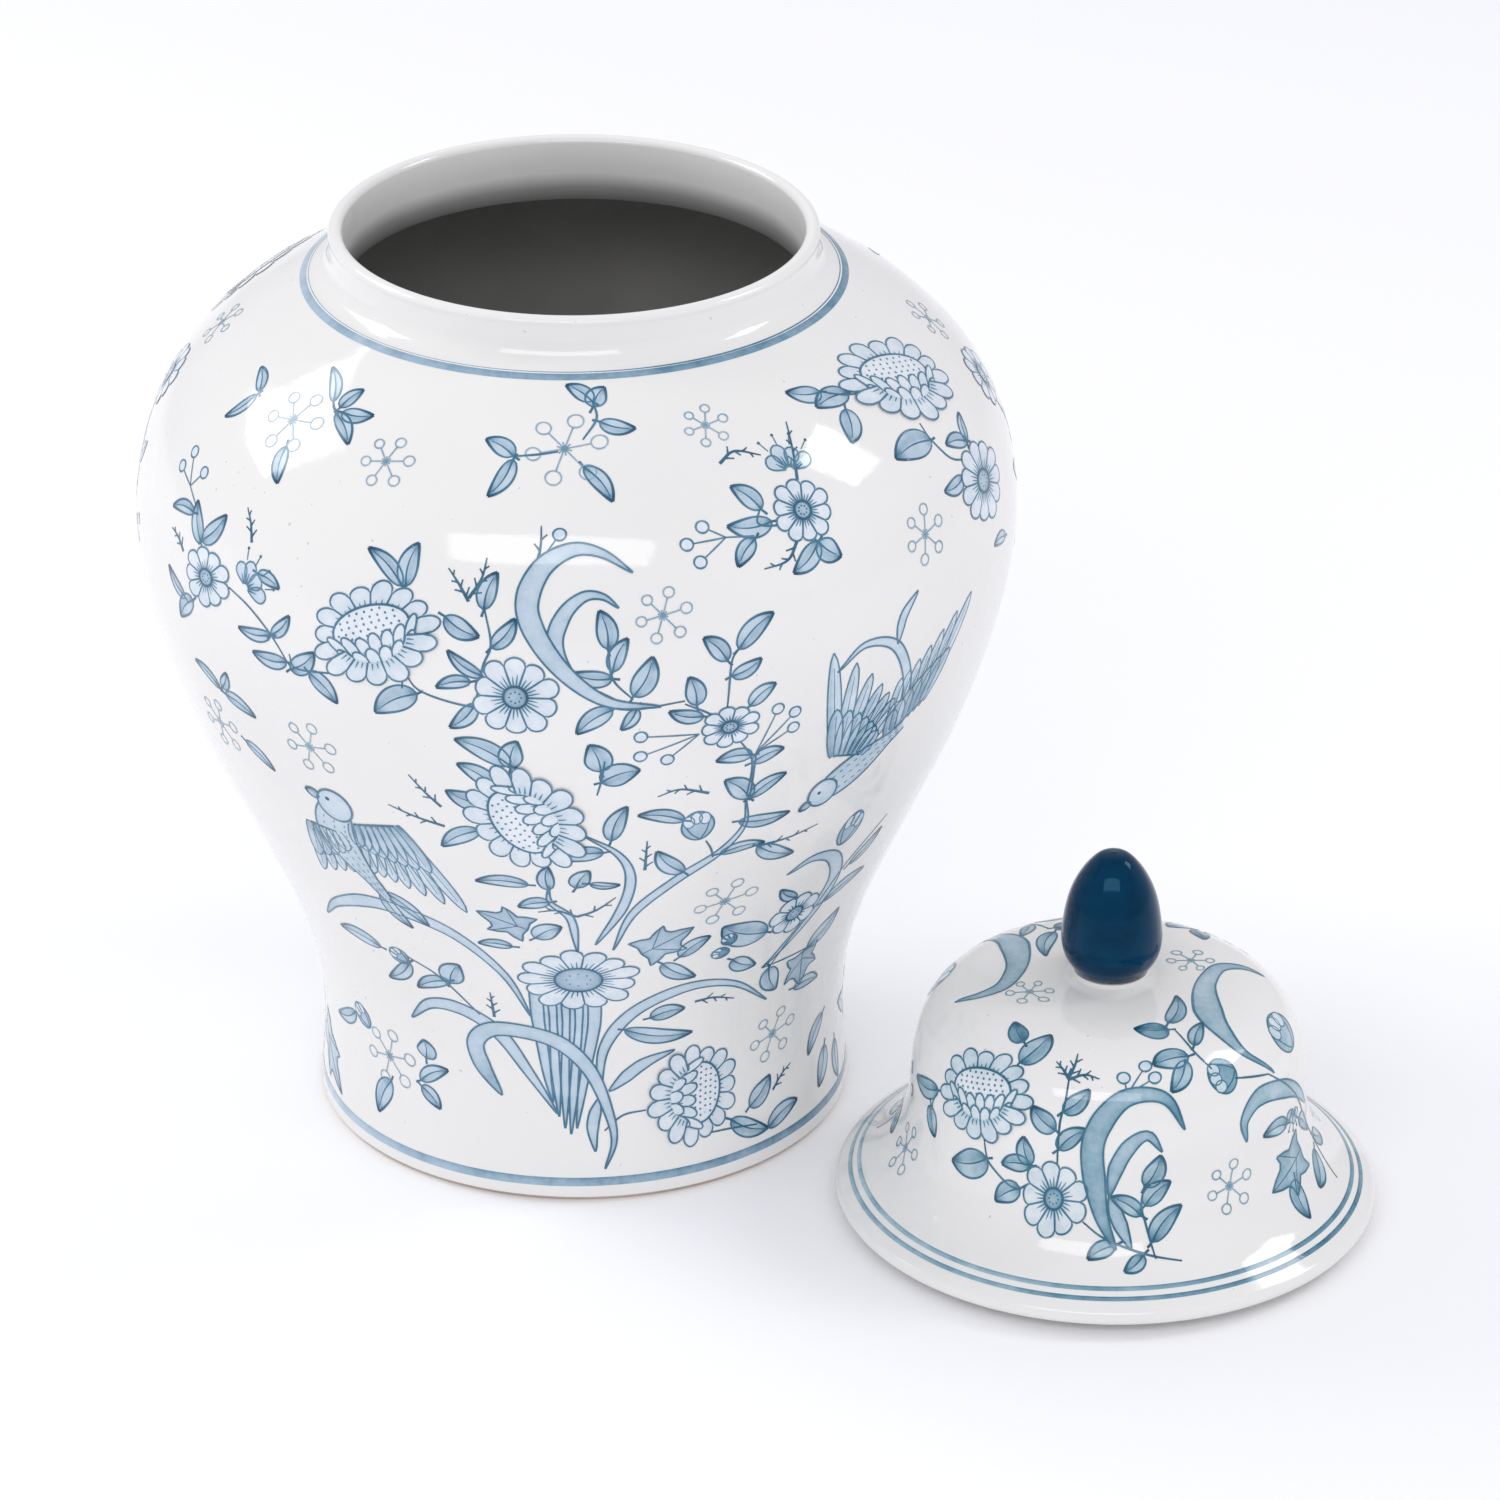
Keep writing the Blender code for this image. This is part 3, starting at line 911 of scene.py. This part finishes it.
# ---------------- the jar's painting
def leaves(paint, *items):
    """Leaves as (base angle, base distance, tip angle, tip distance, width)."""
    for number, (a, b, c, d, width) in enumerate(items):
        paint.leaf((a, b), (c, d), width, 0.08 if number % 2 else -0.08)


def upper_left(p):
    p.peony((-26.5, 220), 21, 15, 24)
    p.daisy((-8, 206), 12.5, 12.5, 10)
    p.daisy((-55, 219), 11.5, 9, 9, tilt=10)
    p.half_flower((-47, 222), 9, 55)
    p.star((-30, 271), 7)
    p.star((-50, 274), 9)
    leaves(p, (-61, 276, -66, 282, 4), (-61, 275, -64, 264, 4), (-45, 284, -51, 294, 4),
           (-43, 283, -41, 291, 5), (-42, 282, -36, 284, 5), (-43, 281, -37.5, 273, 4.5),
           (-48, 266, -46, 255, 5), (-45, 228, -41, 226, 4),
           (-60, 235, -66, 232, 4), (-57, 228, -60, 239, 6), (-57, 229, -53, 240, 6),
           (-60, 208, -65, 214, 4), (-58, 209, -62, 200, 6), (-42, 211, -48, 209, 4),
           (-42, 211, -39, 219, 4), (-39.5, 204, -45.5, 203, 5), (-39, 202, -35, 210, 6),
           (-36, 203, -32, 195, 6), (-23, 236, -28.5, 245, 5), (-22.5, 236, -21.5, 249, 6),
           (-17, 229, -12.5, 224, 6), (-12, 232, -10.5, 243, 5.5), (-11, 221, -8, 230, 5),
           (-12, 212, -16.5, 219, 4), (-13.5, 210, -18, 207, 4), (-13, 203, -16.5, 194, 5),
           (-20.5, 204, -26.5, 195, 8))
    p.berries((-63, 241), [(-67, 244), (-65.5, 250), (-61, 247)], (-60, 237))
    p.twig([(-47, 236), (-48, 241), (-49.5, 245)])
    p.twig([(-61, 222), (-63, 225), (-65, 226)])
    p.twig([(-14, 234), (-15.5, 239), (-17, 243)])
    p.twig([(-14, 235), (-12.5, 241), (-12, 247)])
    p.stem([(-50, 220), (-46, 217), (-42, 211), (-39, 203)])
    p.stem([(-39, 207), (-38, 203), (-32, 205)])
    p.stem([(-22, 210), (-20, 205), (-14, 202), (-9, 203)])
    p.stem([(-22.5, 205), (-22, 225), (-22.5, 237)])
    p.stem([(-13, 203), (-12, 215), (-11, 222), (-12, 233)])


def upper_middle(p):
    p.star((10.5, 230), 7)
    p.blade([(5, 204), (-0.5, 211), (-3, 222), (-2, 231), (0.5, 236.5), (3, 236.5), (5, 233)],
            4.6, 0.08, 0.5, 0.4)
    p.level = 1
    p.blade([(10, 202), (3, 205), (-3, 217), (-6.5, 232), (-5, 244), (-1, 250), (3, 249),
             (7, 243)], 6.4, 0.08, 0.5, 0.4)
    p.level = 0
    p.berries((-5.5, 245), [(-2.5, 254.5)])
    p.twig([(-5.5, 245), (-5, 251), (-5, 257)], 3)
    leaves(p, (3.5, 221, 2.5, 232.5, 6), (4, 214, 6, 224, 5), (6.5, 206, 9, 218, 7),
           (4, 212, -1, 214, 5), (4, 202, -0.5, 194, 6), (7, 202, 5, 195, 4),
           (14.5, 201, 13.5, 210.5, 6), (15.5, 197, 11, 200, 4.5), (18.5, 214, 15.5, 222, 5.5),
           (20, 217, 25, 226, 6), (19, 209, 23, 213, 4.5), (21.5, 198, 25, 204, 5),
           (22.5, 180, 17.5, 180, 5), (22.5, 177, 27, 180, 5), (23, 163, 19, 172, 7),
           (23, 163, 28, 170, 5), (2.5, 180, 1, 190, 8), (2.5, 176, 7.5, 180, 8))
    p.stem([(-1, 209), (5, 202), (13, 203)])
    p.stem([(3.5, 222), (4, 212), (6.5, 205)])
    p.stem([(18.5, 199), (19, 213), (20, 217)])
    p.stem([(13, 202), (16, 198), (19, 193)])
    p.stem([(20, 188), (22.5, 178), (22.5, 164)])
    p.stem([(23, 181), (23, 172), (23, 162)])
    p.daisy((19, 192), 9, 7, 9)
    p.berries((23, 181), [(25.5, 195), (28, 192.5), (28, 187)])
    p.berries((15, 191), [(7.5, 192), (7.5, 185), (11, 183)])
    p.twig([(17, 168), (13, 171), (10, 169)])
    p.star((-2, 281), 10)
    leaves(p, (-10, 278, -15, 283, 5.5), (-10, 277, -13, 265, 5), (3, 297, -2, 303, 5),
           (3, 295, 5.5, 302, 6), (4, 290, 10, 287, 5), (1, 275, 5, 264, 5))
    p.stem([(3, 297), (3.5, 291), (1, 284)])
    p.stem([(-10, 278), (-6, 279), (-3, 280)])


def upper_right(p):
    p.star((22, 285), 6)
    p.star((51, 233), 7.5)
    p.daisy((32, 253), 9.5, 9.5, 10)
    p.half_flower((32.5, 265), 9, 80)
    p.peony((64, 276), 24, 15, -22)
    p.daisy((68, 235), 15, 12, 11)
    p.twig([(22, 272), (25, 275), (29, 272)])
    p.twig([(30, 245), (28, 240), (24.5, 239)])
    p.twig([(33, 262), (34, 268), (36, 280)])
    leaves(p, (26, 256, 22.5, 264.5, 6), (27, 252, 20.5, 253, 6), (24, 248, 21, 241, 5),
           (33, 243, 28.5, 236, 6), (33, 243, 36, 237, 7), (46, 285, 39.5, 289, 6),
           (51, 281, 43, 281, 7), (48, 277, 45, 267, 7), (60, 256, 51, 257, 9),
           (63, 241, 57.5, 241, 5), (68, 248, 62.5, 252, 5), (68, 248, 70.5, 256, 4),
           (73, 212, 68, 214, 4))
    p.stem([(60, 262), (60, 256), (62, 248), (66, 244)])
    p.stem([(46, 285), (50, 281), (54, 279)])
    p.stem([(26, 257), (25, 252), (29, 250)])
    p.berries((20, 250), [(17, 254), (14.5, 249.5), (16, 244)], (24, 249))


def middle_left(p):
    p.star((-38, 175), 8)
    p.star((-58, 166), 8)
    p.peony((-7.5, 160.5), 21.5, 17, 116)
    leaves(p, (-54.5, 182, -60, 187, 4), (-53.5, 181, -47.5, 178, 5), (-54, 183, -52, 190, 4),
           (-52, 165, -47, 158, 4.5), (-9, 182, -16, 190, 7),
           (-9, 181, -8, 191, 7), (-11, 173, -16, 181, 6), (-12, 166, -18, 170, 7),
           (-14, 155, -20, 146, 6))
    p.twig([(-19, 163), (-21, 168), (-23, 174)])
    p.twig([(-19, 155), (-23, 157), (-27, 160)])
    p.stem([(2, 171), (2.5, 176), (3, 184)])


def lower_right(p):
    p.blade([(5, 100), (8, 118), (14, 132), (20, 142), (23, 152), (22.5, 163)], 3)
    p.blade([(2, 103), (6, 120), (7, 135), (5, 146), (0, 155)], 3)
    p.bud((16, 155), 10, 12, 12)
    p.stem([(17.5, 148), (18.5, 144), (19, 140)])
    leaves(p, (14, 158, 7.5, 162, 5), (4, 152, 6, 166, 6), (3, 147, -3, 144, 6),
           (-1, 131, 1, 139, 6), (1, 133, 5.5, 132, 3), (15, 135, 10.5, 146, 6),
           (22, 154, 30, 153, 5), (20, 141, 27, 142, 4), (26, 141, 33, 133, 6),
           (17, 93, 22, 101, 6), (14, 91, 21, 82, 6), (34, 95, 24, 104, 11),
           (28, 86, 34, 80, 6), (38, 108, 33.5, 115, 4), (38, 76, 42, 64, 7),
           (48, 60, 57, 58, 5))
    p.twig([(9, 138), (9, 144), (9, 151)])
    p.twig([(26, 141), (31, 141), (36, 143)])
    p.ivy((10, 97), (18.5, 107), 15)
    p.bud((26, 97), 5, 6, 40, 0.6)
    p.bud((25, 91), 5, 6, 80, 0.6)
    p.blade([(33.5, 122), (38, 126), (43, 122), (46, 110), (44, 95), (39, 82), (36, 77)], 5)
    p.daisy((39, 100), 9, 9, 7, 0.34)
    p.bud((44, 134), 9, 14, -10)
    p.star((23, 117), 8.5)
    p.ivy((47, 76), (50, 60), 14)
    p.stem([(36, 77), (42, 77), (48, 77)])
    p.stem([(38, 76), (41, 87), (44, 97), (48, 115), (54, 130)])
    leaves(p, (48, 77, 54, 89, 8), (46, 99, 56, 105, 5), (49, 113, 54.5, 124, 5))


def bush(p):
    p.daisy((-1, 86), 18, 14, 13, 0.40)
    p.blade([(3, 36), (4, 55), (10, 70), (20, 77.5), (30, 74), (40, 61)], 4)
    p.blade([(5, 38), (12, 47), (19, 51)], 4)
    p.blade([(3, 36), (1.5, 26), (2, 17)], 3.5)
    p.blade([(-38, 57), (-32, 66), (-25, 67), (-18, 60), (-12, 45), (-6, 30)], 5)
    for step, foot in enumerate((34, 29, 25, 23, 25)):
        top = -8.6 + 2.5 * step
        p.blade([(top, 82), (top, 66), (0.8 * top - 1.2, 46), (0.5 * top - 2.6, foot)],
                5.4, 0.10, 0.0, 0.70)
    p.level = 1
    p.blade([(-18, 35), (-22, 45), (-23, 54), (-19, 60.5), (-12, 61), (-5, 57), (1, 46),
             (5, 30), (6, 20), (4, 11)], 5.4, 0.12, 0.12, 0.5)
    p.level = 0
    p.blade([(-53, 91), (-47, 101), (-38, 109), (-30, 109), (-22, 103), (-15, 88), (-10.5, 68)], 5)
    leaves(p, (8, 62, 22.5, 57, 6), (13, 66, 20, 68, 6), (-40, 86, -50, 88, 6),
           (-34, 83, -41, 72, 5), (-26, 79, -34, 72, 5), (-26, 78, -23, 88, 8),
           (-8, 132, -16, 132, 5), (-5, 130, -5, 141, 5), (-5, 124, -10, 121, 5),
           (-8, 106, -3.5, 112, 7), (-12, 101, -18, 101, 4))
    p.twig([(22, 70), (26, 70), (31, 67)])
    p.twig([(-1, 117), (-4, 120), (-7, 119)], 3)
    p.twig([(-1, 117), (2, 120), (5, 126)], 3)
    p.twig([(-18, 66), (-18, 71), (-18, 77)])
    p.stem([(-34, 86), (-28, 80), (-21, 66)])
    p.blade([(-1, 100), (-2, 116), (-5, 124), (-5, 132)], 2.2)
    p.ivy((-9, 110), (-17, 117), 13)
    p.bud((-36, 85), 7, 7, 50, 0.35)


def foot_sprays(p):
    p.peony((24, 33), 17.5, 15, -90, 6)
    leaves(p, (33, 20, 43, 12, 6), (43, 12, 53, 16, 6), (38, 22, 44, 30, 7),
           (-38, 33, -30.5, 40, 5), (-36, 42, -36, 49, 7), (-38, 31, -33, 25, 5),
           (-47, 28, -51, 15, 7), (-58, 46, -68, 39, 5), (64, 39, 58, 28, 6),
           (66, 26, 62, 14, 7), (73, 23, 74, 9, 6))
    p.stem([(13, 30), (8, 29), (4, 24)])
    p.stem([(26, 18), (33, 17), (40, 15)])
    p.twig([(45, 24), (48, 28), (51, 30)])
    p.star((44, 45), 8)
    p.star((-47, 37), 9)
    p.bud((-55, 47), 7, 9, 40)
    p.ivy((-82, 27), (-67, 10), 14)


def birds(p):
    """Two plain small birds, one perched and one in flight."""
    p.wing((-38, 141), (-43, 141), -72, -94, 18, 24, 5, 6.0)
    p.wing((-34, 147), (-27, 151), -90, -63, 22, 38, 8, 6.4)
    p.songbird((-36.5, 153), (-38, 138), (-33, 114), 8.0, 160)
    leaves(p, (-34, 116, -30, 102, 5), (-33, 117, -26.5, 105, 5))
    p.blade([(45, 171), (47, 186), (44, 203), (38.5, 208), (34, 202)], 3.4, 0.05)
    p.blade([(44, 204), (45, 212), (48, 218)], 3.0, 0.05)
    p.wing((45, 171), (51, 178), 92, 58, 20, 36, 7, 6.0)
    p.wing((40, 168), (35.5, 171), 52, 104, 20, 38, 7, 6.4)
    p.songbird((35, 157), (40, 163), (48, 172), 6.6, 215)


def jar_sides(p):
    """The sprigs that join the front painting to the same painting on the back."""
    for rise, lean in ((0, 1), (92, -1)):
        p.blade([(-2 * lean, 88 + rise), (3 * lean, 108 + rise), (-3 * lean, 130 + rise),
                 (2 * lean, 150 + rise)], 4)
        p.daisy((lean * 2, 160 + rise), 11, 10, 10)
        for step, side in enumerate((-1, 1, -1, 1)):
            foot = 98 + rise + 12 * step
            leaves(p, (0, foot, side * 6, foot + 9, 6))
        p.berries((-5 * lean, 118 + rise), [(-9 * lean, 121 + rise), (-8 * lean, 114 + rise)],
                  (0, 112 + rise))
    p.star((-1, 276), 7)
    p.star((0, 76), 6)
    p.blade([(4, 12), (-4, 30), (-1, 48), (8, 60)], 5)
    leaves(p, (-4, 24, -14, 34, 6), (-3, 36, 6, 30, 5), (0, 48, -8, 58, 6))


def jar_bands(p):
    p.band(304.6, 307.8, 0.46)
    p.band(5.2, 8.0, 0.36)


# ---------------- the lid's painting
def lid_left(p):
    p.peony((-46, 62), 17.5, 14, 14)
    p.leaf((-39.4, 82.5), (-50.6, 88), 6, 0.05, 0.45)
    leaves(p, (-36.5, 75.6, -31.5, 88.4, 8), (-64, 55.6, -80, 52, 6), (-67, 49, -63.5, 40, 6),
           (-41, 43, -54, 37, 9), (-29.5, 37, -36.5, 31, 6.5), (-27, 45, -29.5, 54, 5.5),
           (-27, 45, -36, 43, 5.5), (-20, 58, -28, 64, 6.5), (-18.5, 64, -11, 71.5, 5.5),
           (-19, 52, -11, 59.5, 5.5))
    p.stem([(-42.5, 49), (-41, 43), (-38, 40), (-33, 37), (-29.5, 36.5)])
    p.stem([(-64, 55), (-66, 51), (-66, 48)])
    p.stem([(-19, 46), (-19, 60), (-18, 67), (-18, 75)], tone=0.8)
    p.daisy((-19.5, 36), 10, 12, 9)
    p.twig([(-18, 74), (-21, 77), (-24, 79)])
    p.twig([(-18, 75), (-17, 79), (-17, 83)], 3)
    p.twig([(-18, 74), (-13, 76), (-8, 75)])
    p.star((-78, 28), 7)
    p.star((-70, 101), 6)


def lid_middle(p):
    p.blade([(-4, 38), (-2, 48), (2, 55), (7, 57.5), (11, 52)], 4.5, 0.2)
    p.blade([(-4, 38), (-1, 30), (2, 22)], 4)
    p.level = 1
    p.blade([(-2, 22), (-6, 32), (-8.5, 45), (-9, 55), (-6, 63), (0, 69), (8, 70), (14, 67),
             (18, 58)], 6.5, 0.25)
    p.level = 0
    p.berries((1, 70.5), [(0, 75.5), (8, 79), (10.5, 75)])
    p.stem([(8, 19), (6, 30), (5, 35), (6, 42)])
    leaves(p, (6, 41, 10.5, 51, 6.5), (6, 35, 13.5, 42, 6), (5, 32, -3.5, 38, 5),
           (7.5, 24, 16.5, 34, 6), (-2, 23.5, -9, 19, 5), (5, 20.5, 0, 15.5, 4.5))
    p.stem([(-11, 30), (-6, 26), (0, 23), (7, 20), (14.5, 17.5)])
    p.star((32, 36), 7)


def lid_right(p):
    p.leaf((24.5, 92), (8, 95), 8, 0.05, 0.45)
    leaves(p, (27, 95, 55, 105, 6), (29.5, 83, 42, 90, 4.5), (25, 80, 11, 79, 7),
           (23, 79, 15, 70, 5.5), (59, 45, 46, 47, 5.5), (68, 42, 76, 34, 5),
           (58, 27, 55, 15, 7), (76, 27, 66, 19, 6), (80, 30, 88, 24, 5.5))
    p.stem([(27, 91), (28, 81), (31, 74)])
    p.bud((34, 71), 11, 10, 95, 0.34)
    p.stem([(38, 69), (45, 67), (52, 65)])
    p.blade([(98, 79), (101, 87), (97, 95), (77, 99), (57, 95), (46, 86), (46, 75), (55, 64)],
            6, 0.16)
    p.bud((70, 71), 14, 13, 10, 0.16)
    p.blade([(39, 48), (38.5, 55), (45, 60), (55, 58.5), (66, 53), (78, 42)], 5.5, 0.16)
    p.half_flower((64, 48), 5.5, 250)
    p.ivy((66, 33), (47, 28), 15)
    p.stem([(52, 65), (62, 56), (70, 46), (76, 36), (79, 26), (76, 15)])
    p.berries((86, 45), [(92, 50), (95, 44)], (77, 38))


def lid_bands(p):
    p.band(6.0, 7.5, 0.36, 0.2)
    p.band(9.3, 10.8, 0.28, 0.2)


SPRAYS = [
    ("jar_painting", jar, "jar", "jar_glaze",
     [(upper_left, upper_middle), (upper_right, middle_left, birds), (lower_right, bush),
      (foot_sprays,)]),
    ("lid_painting", lid, "lid", "lid_glaze", [(lid_left, lid_middle, lid_right)]),
]


def paint_everything(colours):
    for name, surface, body, slot, groups in SPRAYS:
        for half, turn in (("front", 0), ("back", 180)):
            for number, group in enumerate(groups, 1):
                paint = Paint(surface, turn)
                for draw in group:
                    draw(paint)
                paint.make(f"{name}_{half}_{number}", body, slot, *colours[surface])
    sides = Paint(jar)
    for turn in (90, -90):
        sides.turn = turn
        jar_sides(sides)
    sides.make("jar_painting_sides", "jar", "jar_glaze", *colours[jar])
    for name, surface, draw, body, slot in (("jar_bands", jar, jar_bands, "jar", "jar_glaze"),
                                            ("lid_bands", lid, lid_bands, "lid", "lid_glaze")):
        bands = Paint(surface)
        draw(bands)
        bands.make(name, body, slot, *colours[surface])


JAR_WASH = [(0.00, srgb(229, 234, 240)), (0.20, srgb(199, 214, 227)),
            (0.34, srgb(183, 203, 218)), (0.56, srgb(146, 173, 193)),
            (0.78, srgb(80, 128, 155)), (1.00, srgb(24, 82, 112))]
JAR_LINE = [(0.20, srgb(160, 184, 200)), (0.44, srgb(112, 150, 172)),
            (0.68, srgb(64, 116, 144)), (0.88, srgb(32, 86, 114)), (1.00, srgb(14, 62, 92))]
LID_WASH = [(0.00, srgb(226, 232, 236)), (0.20, srgb(186, 207, 218)),
            (0.32, srgb(163, 189, 203)), (0.52, srgb(117, 157, 176)),
            (0.76, srgb(50, 112, 138)), (1.00, srgb(12, 76, 102))]
LID_LINE = [(0.20, srgb(150, 180, 194)), (0.44, srgb(98, 146, 166)),
            (0.68, srgb(46, 110, 136)), (0.88, srgb(20, 82, 108)), (1.00, srgb(8, 60, 88))]


def main():
    make_camera()
    make_stage()
    make_lights()
    # inside is the material for the jar's inside, with its shade painted in
    white, inside, clay, navy = white_glaze(), inside_painted_shade(), bare_clay(), navy_glaze()
    make_jar(white, inside, clay)
    make_lid(white, navy)
    jar_paint = (brush_paint("jar_wash", JAR_WASH), brush_paint("jar_line", JAR_LINE))
    lid_paint = (brush_paint("lid_wash", LID_WASH), brush_paint("lid_line", LID_LINE))
    paint_everything({jar: jar_paint, lid: lid_paint})


main()
